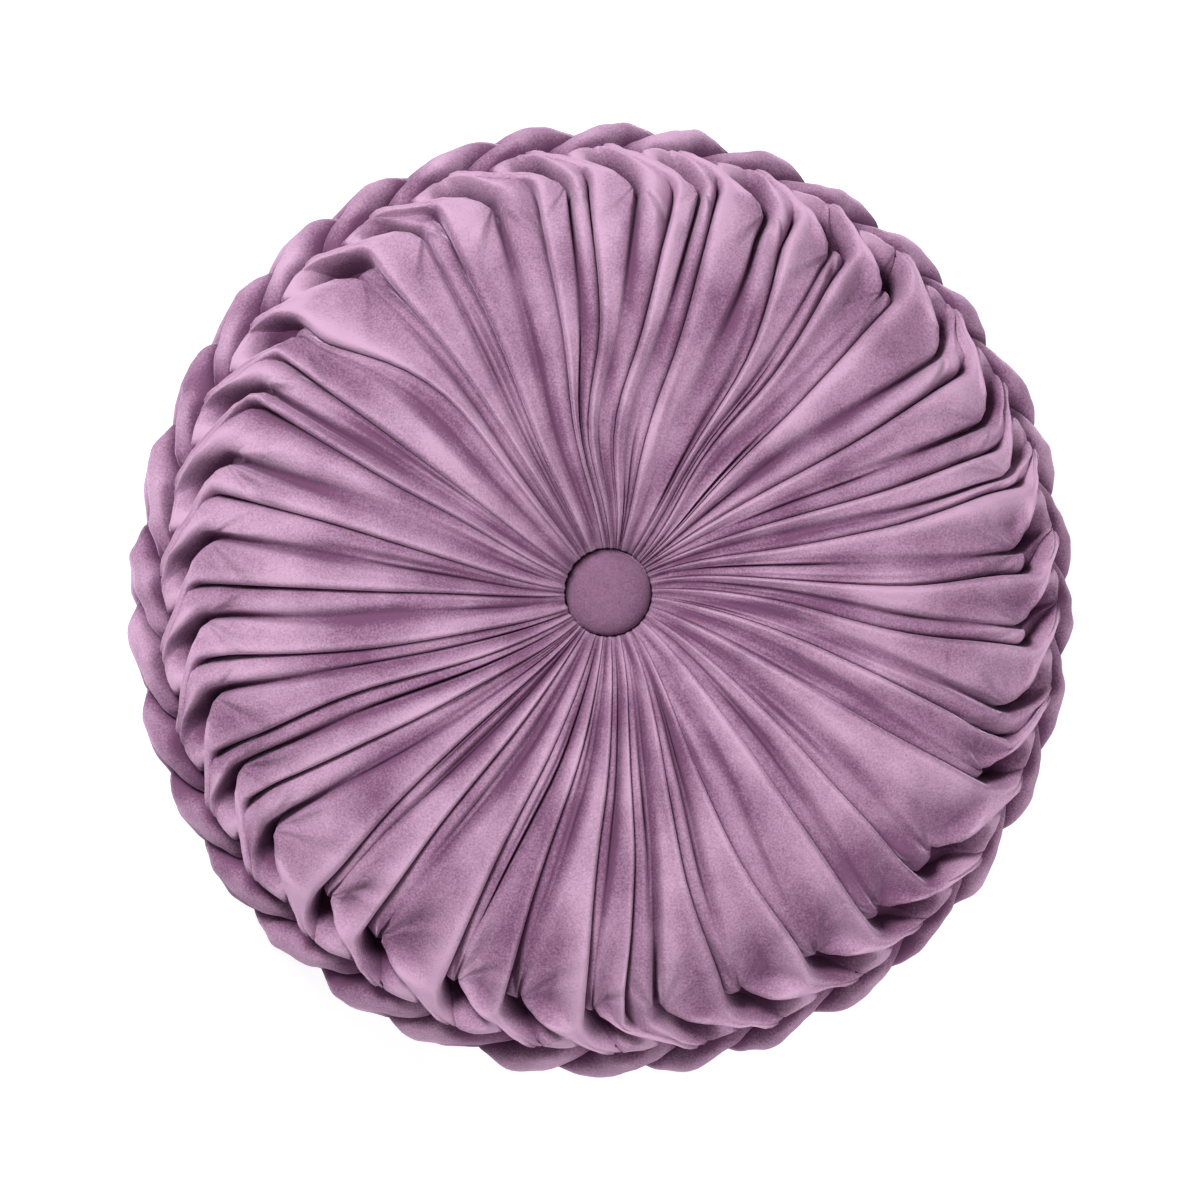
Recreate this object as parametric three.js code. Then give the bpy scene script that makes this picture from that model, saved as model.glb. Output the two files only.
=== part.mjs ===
import * as THREE from 'three';
import { mergeVertices } from 'three/addons/utils/BufferGeometryUtils.js';

const { lerp, degToRad, radToDeg, smoothstep } = THREE.MathUtils;

// A round floor cushion in velvet: two pleated faces, a smocked rim, and a covered button in each face.
// Millimetres, +Z up. It lies on its back, with the origin in the middle of its underside.

// Driving sizes
const CUSHION_RADIUS = 190;
const RESTING_DEPTH = 46; // the underside is pressed flat this far below the rim's widest ring
const BUTTON_RADIUS = 17;
const BUTTON_THICKNESS = 9;
const BUTTON_SEAT = 10.2; // the cover under a button, out from the level of the widest ring
const CLEARANCE = 0.3;
const BUTTON_OFF_CENTRE = 3; // the front button is pulled in this far towards +Y

// The pleats' angles are as they look to an eye that leans this far off the face's axis, towards -X.
const EYE_LEAN = degToRad(11.5);

// One row for each pleat of the front, counter-clockwise, in degrees about the button.
// A pleat ends in a crease that runs from the button, through inner, middle and outer, to its stitch.
// Past the stitches each pleat is a hood, whose free edge runs from the last pleat's stitch to its tip.
const PLEAT_ROWS = [
  // button, inner, middle, outer, stitch, tip
  [14.0, 6.0, 1.3, 2.5, 5.7, 8.0],
  [22.7, 15.5, 12.8, 14.3, 16.0, 18.7],
  [29.0, 24.0, 20.0, 19.8, 24.0, 28.0],
  [35.0, 33.0, 30.8, 31.2, 35.3, 39.3],
  [39.0, 43.3, 44.0, 45.0, 46.7, 49.0],
  [44.5, 53.0, 52.0, 53.7, 56.0, 60.0],
  [56.0, 58.5, 58.4, 62.7, 66.7, 70.7],
  [72.0, 75.3, 73.5, 74.0, 76.7, 81.0],
  [78.0, 86.7, 82.0, 80.0, 85.7, 90.7],
  [86.0, 96.0, 91.3, 92.3, 95.5, 101.0],
  [94.7, 100.7, 99.4, 100.0, 106.3, 111.3],
  [113.0, 114.7, 113.4, 114.0, 117.3, 123.0],
  [122.0, 122.5, 123.0, 125.3, 127.7, 133.3],
  [131.0, 130.0, 129.5, 138.7, 140.0, 144.0],
  [150.0, 146.0, 144.4, 144.3, 149.7, 155.3],
  [160.7, 155.0, 153.0, 151.7, 161.0, 166.7],
  [176.0, 170.0, 166.3, 165.7, 172.3, 178.5],
  [184.7, 181.0, 179.5, 178.8, 183.7, 188.2],
  [203.0, 197.0, 193.0, 189.3, 194.3, 198.7],
  [214.0, 208.0, 201.8, 202.0, 205.0, 208.7],
  [226.0, 217.7, 212.5, 209.7, 214.7, 218.3],
  [233.0, 227.5, 224.8, 225.8, 226.7, 229.0],
  [239.0, 237.3, 234.3, 234.0, 236.0, 239.7],
  [255.0, 252.0, 247.7, 247.0, 248.0, 250.0],
  [265.0, 262.0, 257.0, 255.7, 256.7, 261.2],
  [275.0, 272.0, 268.0, 267.0, 268.0, 271.2],
  [286.7, 279.5, 276.0, 272.5, 277.3, 281.7],
  [299.0, 291.0, 285.8, 286.7, 288.3, 292.3],
  [306.5, 299.5, 296.5, 298.7, 299.8, 303.7],
  [321.0, 315.0, 310.8, 308.8, 311.0, 314.3],
  [332.0, 326.0, 320.5, 318.0, 321.7, 325.3],
  [342.0, 337.5, 334.3, 333.5, 334.7, 336.7],
  [354.0, 349.0, 343.3, 340.0, 344.0, 347.3],
  [364.0, 358.7, 352.7, 352.7, 355.3, 358.7],
].map(([button, inner, middle, outer, stitch, tip]) => ({ button, inner, middle, outer, stitch, tip }));
const PLEATS = PLEAT_ROWS.length;
const PITCH = 360 / PLEATS;

// How far from the axis a crease's four angles are read.
const READING_RADII = { button: 17, inner: 52, middle: 104, outer: 156 };

// The rings of one face from the axis out, then down the rim. height is out from the widest ring's level,
// depth is how far a crease lies under its ridge, and section says how the pleats are folded there.
// hood goes from 0 at the stitches to 1 at the tips, strip from 0 at the tips to 1 at the widest ring.
const RINGS = [
  { radius: 0, height: BUTTON_SEAT, depth: 0, section: 'face' },
  { radius: 17.6, height: BUTTON_SEAT, depth: 0, section: 'face' },
  { radius: 19, height: 17, depth: 1.2, section: 'face' },
  { radius: 25, height: 27, depth: 2.6, section: 'face' },
  { radius: 37, height: 36, depth: 3.4, section: 'face' },
  { radius: 60, height: 44.5, depth: 4.4, section: 'face' },
  { radius: 88, height: 50, depth: 5.4, section: 'face' },
  { radius: 120, height: 51, depth: 6.6, section: 'face' },
  { radius: 146, height: 46.5, depth: 8, section: 'face' },
  { radius: 158, height: 40, depth: 9, section: 'face' },
  { radius: 168.5, height: 32, depth: 10, section: 'stitch', hood: 0 },
  { radius: 175, height: 27.5, depth: 10, section: 'pocket', hood: 0.35 },
  { radius: 180.5, height: 23, depth: 9, section: 'lip', hood: 0.7 },
  { radius: 185, height: 18.5, depth: 7, section: 'tip', hood: 1 },
  { radius: 187.8, height: 12.5, depth: 6, section: 'strip', strip: 0.33 },
  { radius: 189.4, height: 6.5, depth: 5.5, section: 'strip', strip: 0.67 },
  { radius: CUSHION_RADIUS, height: 0, depth: 5, section: 'strip', strip: 1 },
];

// Each pleat has five columns of points, counter-clockwise. Their share of the ring's depth, by section:
const DROPS = {
  face: { crease: 1, edge: 0.85, panel: 0.28, ridge: 0, side: 0.55 },
  stitch: { crease: 1, edge: 0.45, panel: 0.2, ridge: 0, side: 0.8 },
  pocket: { crease: 1, edge: 0, panel: 0.12, ridge: 0.1, side: 1 },
  lip: { crease: 0.8, edge: 0, panel: 0.15, ridge: 0.2, side: 0.4 },
  tip: { crease: 0.9, edge: 0, panel: 0.1, ridge: 0.3, side: 0.8 },
  strip: { crease: 0.45, edge: 0.7, panel: 1, ridge: 0.25, side: 0 },
};
const COLUMN_NAMES = Object.keys(DROPS.face);

// How far across its pleat a column stands on the face, and how far past the tip on a strip of the rim.
const FACE_PARTS = { crease: 0, edge: 0.12, panel: 0.5, ridge: 0.88, side: 0.95 };
const STRIP_PARTS = { crease: -0.28, edge: -0.1, panel: 0, ridge: 0.14, side: 0.42 };
const STRIP_LEAN = 0.9; // pleats that a strip runs back over, from a hood's tip to the widest ring
const HOOD_GAP = 0.08; // pleats between a hood's free edge and the foot of it
const RIDGE_BACK = 0.1; // pleats from a ridge to the crease that it hangs over

// A whole turn is added each time that the pleat's number passes the last row.
function reading(pleat, name) {
  const turns = Math.floor(pleat / PLEATS);
  return PLEAT_ROWS[pleat - turns * PLEATS][name] + 360 * turns;
}

// A crease follows one cubic through its four angles, and is straight past the last of them.
function frontCrease(pleat, radius) {
  const reach = Math.min(radius, READING_RADII.outer);
  const names = Object.keys(READING_RADII);
  return names.reduce((sum, name) => {
    const others = names.filter((other) => other !== name);
    const weight = others.reduce((product, other) => {
      const share = (reach - READING_RADII[other]) / (READING_RADII[name] - READING_RADII[other]);
      return product * share;
    }, 1);
    return sum + weight * reading(pleat, name);
  }, 0);
}

// The back's pleats meet the same tips. Their creases wander a little and swirl near the button.
const BACK_CREASE = { start: 0.5, stitch: 0.3, waves: 13, waveLength: 250, wander: 1.2, swirl: 4, calm: 100 };
function backCrease(pleat, radius) {
  const phase = (pleat / PLEATS) * BACK_CREASE.waves + radius / BACK_CREASE.waveLength;
  const wander = BACK_CREASE.wander * Math.sin(2 * Math.PI * phase);
  const swirl = BACK_CREASE.swirl * (1 - smoothstep(radius, BUTTON_RADIUS, BACK_CREASE.calm));
  return reading(pleat, 'tip') - BACK_CREASE.start * PITCH + wander + swirl;
}

function backStitch(pleat) {
  return reading(pleat, 'tip') - BACK_CREASE.stitch * PITCH;
}

const FRONT = { crease: frontCrease, stitch: (pleat) => reading(pleat, 'stitch'), side: 1 };
const BACK = { crease: backCrease, stitch: backStitch, side: -1 };

// The angles of a hood's columns: its free edge and its ridge close in on its tip.
function hoodAngles(face, pleat, ring) {
  const freeEdge = (number) => lerp(face.stitch(number - 1), reading(number, 'tip'), ring.hood);
  const edge = freeEdge(pleat);
  const ridgeStart = face.crease(pleat, ring.radius) - RIDGE_BACK * PITCH;
  const ridgeReach = lerp(ridgeStart, reading(pleat, 'tip'), ring.hood ** 2);
  const ridge = Math.max(ridgeReach, edge + 2 * HOOD_GAP * PITCH);
  return {
    crease: edge - HOOD_GAP * PITCH,
    edge,
    panel: lerp(edge, ridge, 0.5),
    ridge,
    side: lerp(ridge, freeEdge(pleat + 1), 0.4),
  };
}

// The angle of one column of one pleat on a ring.
function columnAngle(face, pleat, name, ring) {
  if (ring.strip !== undefined) {
    const tip = reading(pleat, 'tip');
    const next = reading(pleat + 1, 'tip');
    return lerp(tip, next, STRIP_PARTS[name] - STRIP_LEAN * ring.strip);
  }
  if (ring.hood !== undefined) return hoodAngles(face, pleat, ring)[name];
  const start = face.crease(pleat - 1, ring.radius);
  return lerp(start, face.crease(pleat, ring.radius), FACE_PARTS[name]);
}

// A ring that stands above the button looks moved aside to the leaning eye. This turns its angles back.
function turnBack(angle, ring) {
  if (ring.radius < BUTTON_RADIUS) return angle;
  const aside = (ring.height - BUTTON_SEAT) * Math.sin(EYE_LEAN);
  const along = BUTTON_OFF_CENTRE * smoothstep(ring.radius, BUTTON_RADIUS, CUSHION_RADIUS);
  const turn = (aside * Math.sin(degToRad(angle)) + along * Math.cos(degToRad(angle))) / ring.radius;
  return angle + radToDeg(turn);
}

// The direction out of the cushion at a ring, square to the line through its neighbours.
function outward(index) {
  const before = RINGS[Math.max(index - 1, 0)];
  const after = RINGS[Math.min(index + 1, RINGS.length - 1)];
  const rise = after.height - before.height;
  const reach = after.radius - before.radius;
  const length = Math.hypot(rise, reach);
  return { radius: -rise / length, height: reach / length };
}

function coverPoint(face, index, pleat, name) {
  const ring = RINGS[index];
  const out = outward(index);
  const drop = DROPS[ring.section][name] * ring.depth;
  const radius = ring.radius - out.radius * drop;
  const height = Math.max((ring.height - out.height * drop) * face.side, -RESTING_DEPTH);
  const angle = degToRad(turnBack(columnAngle(face, pleat, name, ring), ring));
  const centreShare = face.side > 0 ? 1 - smoothstep(ring.radius, BUTTON_RADIUS, CUSHION_RADIUS) : 0;
  return new THREE.Vector3(
    radius * Math.cos(angle),
    radius * Math.sin(angle) + BUTTON_OFF_CENTRE * centreShare,
    RESTING_DEPTH + height,
  );
}

function velvet(colour) {
  return new THREE.MeshStandardMaterial({ color: colour, roughness: 0.85, metalness: 0 });
}

// The cover is turned on a lathe to the cushion's outline, and each point then goes to its own fold.
function makeCover() {
  const widest = RINGS.length - 1;
  const backRows = RINGS.slice(0, widest).map((ring, index) => ({ face: BACK, index, ring }));
  const frontRows = RINGS.map((ring, index) => ({ face: FRONT, index, ring })).reverse();
  const rows = [...backRows, ...frontRows];
  const outline = rows.map(({ face, ring }) => new THREE.Vector2(ring.radius, ring.height * face.side));
  const steps = PLEATS * COLUMN_NAMES.length;
  const geometry = new THREE.LatheGeometry(outline, steps);
  const position = geometry.getAttribute('position');
  for (let step = 0; step <= steps; step += 1) {
    const pleat = Math.floor((step % steps) / COLUMN_NAMES.length);
    const name = COLUMN_NAMES[step % COLUMN_NAMES.length];
    rows.forEach(({ face, index }, row) => {
      const { x, y, z } = coverPoint(face, index, pleat, name);
      position.setXYZ(step * rows.length + row, x, y, z);
    });
  }
  geometry.deleteAttribute('normal');
  geometry.deleteAttribute('uv');
  const cover = new THREE.Mesh(mergeVertices(geometry, 1e-3), velvet('#a987a6'));
  cover.name = 'cushion_cover';
  return cover;
}

// A covered button has a flat back with a rounded turn-under, and a low dome.
function makeButton(name, face) {
  const turnUnder = 0.35 * BUTTON_THICKNESS;
  const dome = BUTTON_THICKNESS - turnUnder;
  const domeSteps = 6;
  const flatBack = BUTTON_RADIUS - 2.5;
  const rounding = { radius: BUTTON_RADIUS - 0.6, height: 0.4 * turnUnder };
  const profile = [
    new THREE.Vector2(0, 0),
    new THREE.Vector2(flatBack, 0),
    new THREE.Vector2(rounding.radius, rounding.height),
    new THREE.Vector2(BUTTON_RADIUS, turnUnder),
  ];
  for (let step = 1; step < domeSteps; step += 1) {
    const turn = (step / domeSteps) * (Math.PI / 2);
    profile.push(new THREE.Vector2(BUTTON_RADIUS * Math.cos(turn), turnUnder + dome * Math.sin(turn)));
  }
  profile.push(new THREE.Vector2(0, BUTTON_THICKNESS));
  const geometry = new THREE.LatheGeometry(profile, PLEATS);
  geometry.rotateX(Math.PI / 2);
  const button = new THREE.Mesh(geometry, velvet('#9d779b'));
  button.name = name;
  button.rotation.x = face.side > 0 ? 0 : Math.PI;
  const offCentre = face.side > 0 ? BUTTON_OFF_CENTRE : 0;
  button.position.set(0, offCentre, RESTING_DEPTH + face.side * (BUTTON_SEAT + CLEARANCE));
  return button;
}

const group = new THREE.Group();
group.add(makeCover());
group.add(makeButton('button_front', FRONT));
group.add(makeButton('button_back', BACK));
export default group;
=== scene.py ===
# %% [markdown]
# A round floor cushion in lilac velvet. Its maker sews a strip of velvet into a tube, smocks the middle of
# the tube into a braid, fills it, and gathers both edges in pleats under two covered buttons.
# Here the same is done in Blender: a flat strip of cells is bent into a ring and folded row by row.
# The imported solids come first, because they fix the size and place of every piece.

# %% The frame that every piece has to fit
import math

import bmesh
import bpy
import numpy as np
from mathutils import Matrix, Vector, noise


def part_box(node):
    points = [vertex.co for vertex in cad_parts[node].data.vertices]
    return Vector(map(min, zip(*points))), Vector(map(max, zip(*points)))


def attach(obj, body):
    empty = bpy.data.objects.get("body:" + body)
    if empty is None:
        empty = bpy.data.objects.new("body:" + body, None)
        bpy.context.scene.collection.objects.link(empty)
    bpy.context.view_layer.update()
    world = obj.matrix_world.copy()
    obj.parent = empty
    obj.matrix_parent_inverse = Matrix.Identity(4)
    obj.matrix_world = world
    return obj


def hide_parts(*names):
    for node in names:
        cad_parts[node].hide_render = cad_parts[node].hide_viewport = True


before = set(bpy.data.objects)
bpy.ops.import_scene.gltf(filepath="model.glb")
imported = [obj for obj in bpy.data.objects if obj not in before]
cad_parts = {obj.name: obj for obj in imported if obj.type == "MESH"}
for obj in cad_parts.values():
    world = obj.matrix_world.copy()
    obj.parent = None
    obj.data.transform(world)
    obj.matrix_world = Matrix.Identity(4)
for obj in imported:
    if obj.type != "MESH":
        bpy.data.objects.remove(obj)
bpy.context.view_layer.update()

COVER_LOW, COVER_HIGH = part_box("cushion_cover")
MM = 0.001
print("cushion, mm:", [round(side / MM, 1) for side in COVER_HIGH - COVER_LOW])

# %% [markdown]
# The camera stands almost straight above the cushion and leans a little to its left, as a hand would hold
# a long lens over a thing on a table. It could be aimed with a constraint, but a plain matrix keeps the
# picture's upright along Y whichever way the lens leans.

# %% The camera
EYE_LEAN = math.radians(8.2)
EYE_DISTANCE = 6.0
PICTURE_WIDTH = 0.4765  # metres across the picture at the cushion's middle height
WIDEST_HEIGHT = 46 * MM  # the rim's widest ring above the floor
aim = Vector((-1.4 * MM, 0, WIDEST_HEIGHT))
to_eye = Vector((-math.sin(EYE_LEAN), 0, math.cos(EYE_LEAN)))
right = Vector((math.cos(EYE_LEAN), 0, math.sin(EYE_LEAN)))
lens = bpy.data.cameras.new("photo_lens")
lens.sensor_width = 36
lens.lens = lens.sensor_width * EYE_DISTANCE / PICTURE_WIDTH
eye = bpy.data.objects.new("photo_camera", lens)
turn = Matrix((right, to_eye.cross(right), to_eye)).transposed()
eye.matrix_world = Matrix.Translation(aim + to_eye * EYE_DISTANCE) @ turn.to_4x4()
bpy.context.scene.collection.objects.link(eye)
bpy.context.scene.camera = eye
print("lens, mm:", round(lens.lens))

# %% [markdown]
# The pleats of a real cushion are pulled up by hand, so no two are alike. Each row below is one pleat of
# the front, counter-clockwise, in degrees about the button as the leaning camera sees it. A crease runs
# from the button through inner, middle and outer to a stitch. Past the stitches every pleat is a hood,
# and its free edge runs from the stitch of the pleat before it to its own tip.

# %% The pleats of the front
PLEAT_COLUMNS = ("button", "inner", "middle", "outer", "stitch", "tip")
PLEAT_ROWS = (
    (14.0, 6.0, 1.3, 2.5, 5.7, 8.0),
    (22.7, 15.5, 12.8, 14.3, 16.0, 18.7),
    (29.0, 24.0, 20.0, 19.8, 24.0, 28.0),
    (35.0, 33.0, 30.8, 31.2, 35.3, 39.3),
    (39.0, 43.3, 44.0, 45.0, 46.7, 49.0),
    (44.5, 53.0, 52.0, 53.7, 56.0, 60.0),
    (56.0, 58.5, 58.4, 62.7, 66.7, 70.7),
    (72.0, 75.3, 73.5, 74.0, 76.7, 81.0),
    (78.0, 86.7, 82.0, 80.0, 85.7, 90.7),
    (86.0, 96.0, 91.3, 92.3, 95.5, 101.0),
    (94.7, 100.7, 99.4, 100.0, 106.3, 111.3),
    (113.0, 114.7, 113.4, 114.0, 117.3, 123.0),
    (122.0, 122.5, 123.0, 125.3, 127.7, 133.3),
    (131.0, 130.0, 129.5, 138.7, 140.0, 144.0),
    (150.0, 146.0, 144.4, 144.3, 149.7, 155.3),
    (160.7, 155.0, 153.0, 151.7, 161.0, 166.7),
    (176.0, 170.0, 166.3, 165.7, 172.3, 178.5),
    (184.7, 181.0, 179.5, 178.8, 183.7, 188.2),
    (203.0, 197.0, 193.0, 189.3, 194.3, 198.7),
    (214.0, 208.0, 201.8, 202.0, 205.0, 208.7),
    (226.0, 217.7, 212.5, 209.7, 214.7, 218.3),
    (233.0, 227.5, 224.8, 225.8, 226.7, 229.0),
    (239.0, 237.3, 234.3, 234.0, 236.0, 239.7),
    (255.0, 252.0, 247.7, 247.0, 248.0, 250.0),
    (265.0, 262.0, 257.0, 255.7, 256.7, 261.2),
    (275.0, 272.0, 268.0, 267.0, 268.0, 271.2),
    (286.7, 279.5, 276.0, 272.5, 277.3, 281.7),
    (299.0, 291.0, 285.8, 286.7, 288.3, 292.3),
    (306.5, 299.5, 296.5, 298.7, 299.8, 303.7),
    (321.0, 315.0, 310.8, 308.8, 311.0, 314.3),
    (332.0, 326.0, 320.5, 318.0, 321.7, 325.3),
    (342.0, 337.5, 334.3, 333.5, 334.7, 336.7),
    (354.0, 349.0, 343.3, 340.0, 344.0, 347.3),
    (364.0, 358.7, 352.7, 352.7, 355.3, 358.7),
)
PLEATS = len(PLEAT_ROWS)
PITCH = 360 / PLEATS
READING = {name: np.array([row[i] for row in PLEAT_ROWS]) for i, name in enumerate(PLEAT_COLUMNS)}
READING_RADII = {"button": 17, "inner": 52, "middle": 104, "outer": 156}
print(PLEATS, "pleats, one every", round(PITCH, 1), "degrees")

# %% [markdown]
# The cushion's outline is a short table of rings from the button out over the crown and down the rim, in
# millimetres. Heights are out from the level of the widest ring. Depth is how far a crease lies under its
# ridge. Smooth curves through these columns give every ring between them.

# %% The outline, from the button to the widest ring
# station, radius, height, depth
OUTLINE = np.array((
    (0.0, 0.0, 10.2, 0.0),
    (0.3, 15.8, 10.2, 0.1),
    (0.6, 17.6, 15.0, 0.9),
    (0.8, 19.2, 20.0, 1.8),
    (1.0, 23.0, 26.5, 2.8),
    (1.6, 37.0, 36.5, 4.6),
    (2.4, 60.0, 45.0, 6.4),
    (3.3, 88.0, 50.0, 8.0),
    (4.3, 120.0, 51.5, 9.5),
    (5.2, 145.2, 47.0, 12.0),
    (5.6, 157.0, 41.5, 14.0),
    (6.0, 166.9, 34.5, 17.0),
    (6.35, 172.2, 30.5, 17.0),
    (6.7, 177.3, 26.0, 16.0),
    (7.0, 181.1, 21.5, 15.0),
    (7.35, 185.1, 14.0, 13.0),
    (7.7, 188.6, 6.5, 9.5),
    (8.0, 189.8, 0.0, 7.0),
))
STITCH_STATION, TIP_STATION, WIDEST_STATION = 6.0, 7.0, 8.0
BUTTON_SEAT, BUTTON_RADIUS, BUTTON_OFF_CENTRE, CUSHION_RADIUS = 10.2, 17.0, 3.0, 190.0


def smooth_through(stations, values, at):
    """A curve through the values, with the slope at each one from its two neighbours."""
    slopes = np.gradient(values, stations, axis=0)
    i = np.clip(np.searchsorted(stations, at, side="right") - 1, 0, len(stations) - 2)
    span = stations[i + 1] - stations[i]
    t = (at - stations[i]) / span
    start = values[i] * (1 + 2 * t) * (1 - t) ** 2 + slopes[i] * span * t * (1 - t) ** 2
    return start + values[i + 1] * t * t * (3 - 2 * t) - slopes[i + 1] * span * t * t * (1 - t)


def smooth_step(x, low, high):
    t = np.clip((x - low) / (high - low), 0, 1)
    return t * t * (3 - 2 * t)


def mix(a, b, share):
    return a + (b - a) * share


def outline_at(station):
    """Radius, height, depth and the outward direction at one station."""
    nudge = 0.02
    at = np.array((station, min(station + nudge, WIDEST_STATION), max(station - nudge, 0)))
    radius, height, depth = (smooth_through(OUTLINE[:, 0], OUTLINE[:, i], at) for i in (1, 2, 3))
    reach, rise = radius[1] - radius[2], height[1] - height[2]
    length = math.hypot(reach, rise)
    return radius[0], height[0], depth[0], -rise / length, reach / length


print("crown, mm:", round(outline_at(4.0)[1], 1))

# %% [markdown]
# A fold is told by its cross-section. Going round a pleat, sixteen points climb from the foot of its crease
# over a roll, dip at the stitch, and climb again to the ridge that leans over the next crease. On the face
# the dip is only a shallow valley. Past the stitch it is the deep pocket between two hoods.

# %% The cross-sections of a pleat
# name, part across the pleat, lift on the face, lift at the stitch beside a broad roll
SECTION = (
    ("foot", 0.000, 0.46, 0.34),
    ("under", 0.025, 0.60, 0.66),
    ("shoulder", 0.070, 0.66, 0.84),
    ("left", 0.140, 0.70, 0.96),
    ("roll", 0.230, 0.69, 1.00),
    ("fall", 0.320, 0.62, 0.86),
    ("low", 0.400, 0.53, 0.52),
    ("floor", 0.470, 0.47, 0.36),
    ("middle", 0.540, 0.50, 0.32),
    ("sill", 0.610, 0.58, 0.42),
    ("star", 0.680, 0.72, 0.74),
    ("edge", 0.750, 0.82, 0.86),
    ("facet", 0.820, 0.92, 0.92),
    ("ridge", 0.890, 1.00, 1.00),
    ("round", 0.965, 0.95, 0.95),
    ("wall", 1.008, 0.74, 0.66),
)
POINTS = len(SECTION)
AT = {row[0]: i for i, row in enumerate(SECTION)}
FACE_PARTS, FACE_LIFTS, ROLL_LIFTS = (np.array([row[i] for row in SECTION]) for i in (1, 2, 3))
# where the hood's lip crosses each point, as a part of the hood
LIPS = np.array((1, 1, 1, 1, 1, 0.995, 0.965, 0.91, 0.82, 0.70, 0.55, 1, 1, 1, 1, 1))
# where the floor of a pocket starts to climb to the lip, beside a bare stitch and beside a broad roll
BARE_CLIMBS = np.array((0.60, 0.58, 0.56, 0.54, 0.51, 0.47, 0.42, 0.37, 0.33, 0.30, 0.32, 1, 1, 1, 1, 1))
ROLL_CLIMBS = np.array((0.60, 0.58, 0.56, 0.54, 0.51, 0.56, 0.52, 0.45, 0.36, 0.30, 0.32, 1, 1, 1, 1, 1))
CLIMB_LENGTH = 0.40
# rows of the mesh bend with the lip and straighten again on the next hood
ROW_BENDS = np.array((1, 1, 1, 1, 1, 0.995, 0.965, 0.91, 0.82, 0.70, 0.55, 0.68, 0.80, 0.90, 0.96, 1))
# the same points on a strip of the rim: part of the way from its groove to the next, and lift
STRIP_PARTS = np.array((
    0.02, 0.05, 0.09, 0.14, 0.20, 0.28, 0.37, 0.47, 0.57, 0.68, 0.79, 0.87, 0.93, 0.97, 0.99, 1.005,
))
STRIP_LIFTS = np.array((
    0.06, 0.30, 0.60, 0.84, 0.97, 1.00, 0.97, 0.90, 0.81, 0.71, 0.61, 0.53, 0.46, 0.41, 0.33, 0.10,
))
print(POINTS, "points round a pleat")

# %% [markdown]
# The angle of a crease is a smooth curve through its four readings. The back of the cushion isn't seen: it
# has the same tips, because the strips of the rim join them, and its own wandering creases.

# %% Where the lines of each pleat run
WANDER, WANDER_TURNS, WANDER_LENGTH = 1.2, 13, 250  # degrees aside, times round, millimetres outwards
SWIRL, SWIRL_RADIUS = 4, 100  # degrees that the back turns at its button, and where the turn has ended
number = np.arange(-1, PLEATS + 2)


def numbered(values):
    """A reading for each pleat from -1 to one past a whole turn, so that neighbours are at hand."""
    return values[number % PLEATS] + 360.0 * (number // PLEATS)


def front_crease(radius):
    radii = np.array(list(READING_RADII.values()))
    readings = np.array([READING[name] for name in READING_RADII])
    return numbered(smooth_through(radii, readings, np.clip(radius, radii[0], radii[-1])))


def back_crease(radius):
    pleat = np.arange(PLEATS)
    wander = WANDER * np.sin(2 * math.pi * (WANDER_TURNS * pleat / PLEATS + radius / WANDER_LENGTH))
    swirl = SWIRL * (1 - smooth_step(radius, BUTTON_RADIUS, SWIRL_RADIUS))
    return numbered(READING["tip"] - 0.5 * PITCH + wander + swirl)


TIPS = numbered(READING["tip"])
FRONT = {"crease": front_crease, "stitch": numbered(READING["stitch"]), "side": 1}
BACK = {"crease": back_crease, "stitch": TIPS - 0.3 * PITCH, "side": -1}
for face in (FRONT, BACK):
    outer = face["crease"](READING_RADII["outer"])
    part = (face["stitch"][:-1] - outer[:-1]) / (outer[1:] - outer[:-1])
    face["stitch_part"] = np.clip(part, 0.16, 0.72)
    face["stitch"][:-1] = outer[:-1] + face["stitch_part"] * (outer[1:] - outer[:-1])
    face["roll"] = smooth_step(face["stitch_part"], 0.2, 0.34)
print("pleats with a broad roll:", int((FRONT["roll"] > 0.5).sum()))

# %% [markdown]
# Now the sections are set out pleat by pleat. Points are angles in degrees and lifts from 0 to 1. The hood
# of a pleat is drawn by two lines that close in on its tip, and everything else hangs between them.

# %% The small differences between pleats
SEED = 11
TUCKS = 3  # small tucks on every pleat
chance = np.random.default_rng(SEED)


def for_each_pleat(low, high, count=1):
    """Random numbers for the pleats, alike where the turn closes."""
    drawn = chance.uniform(low, high, (PLEATS, count))
    return drawn[number[:-1] % PLEATS]


def bell(x, middle, width):
    return np.exp(-(((x - middle) / width) ** 2))


for face in (FRONT, BACK):
    face["tucks"] = [
        {
            "point": for_each_pleat(2, 9)[:, 0].round().astype(int),
            "deep": for_each_pleat(0.06, 0.26),
            "start": for_each_pleat(0.5, 2.6),
            "end": for_each_pleat(2.2, 5.4),
        }
        for _ in range(TUCKS)
    ]
    face["hump"] = for_each_pleat(-0.10, 0.12) * bell(FACE_PARTS, 0.2, 0.12)
    face["valley"] = for_each_pleat(-0.16, 0.10) * bell(FACE_PARTS, 0.52, 0.14)


def tucked(face, station, lifts):
    """The lifts with small tucks pressed in, which run outwards along a pleat and fade."""
    lifts = lifts.copy()
    for tuck in face["tucks"]:
        reach = smooth_step(station, tuck["start"] - 0.4, tuck["start"] + 0.5)
        reach = reach * (1 - smooth_step(station, tuck["end"] - 0.9, tuck["end"]))
        rows = np.arange(len(lifts))
        lifts[rows, tuck["point"]] -= (tuck["deep"] * reach)[:, 0]
        lifts[rows, tuck["point"] - 1] += (0.3 * tuck["deep"] * reach)[:, 0]
        lifts[rows, tuck["point"] + 1] += (0.3 * tuck["deep"] * reach)[:, 0]
    return lifts


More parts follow.
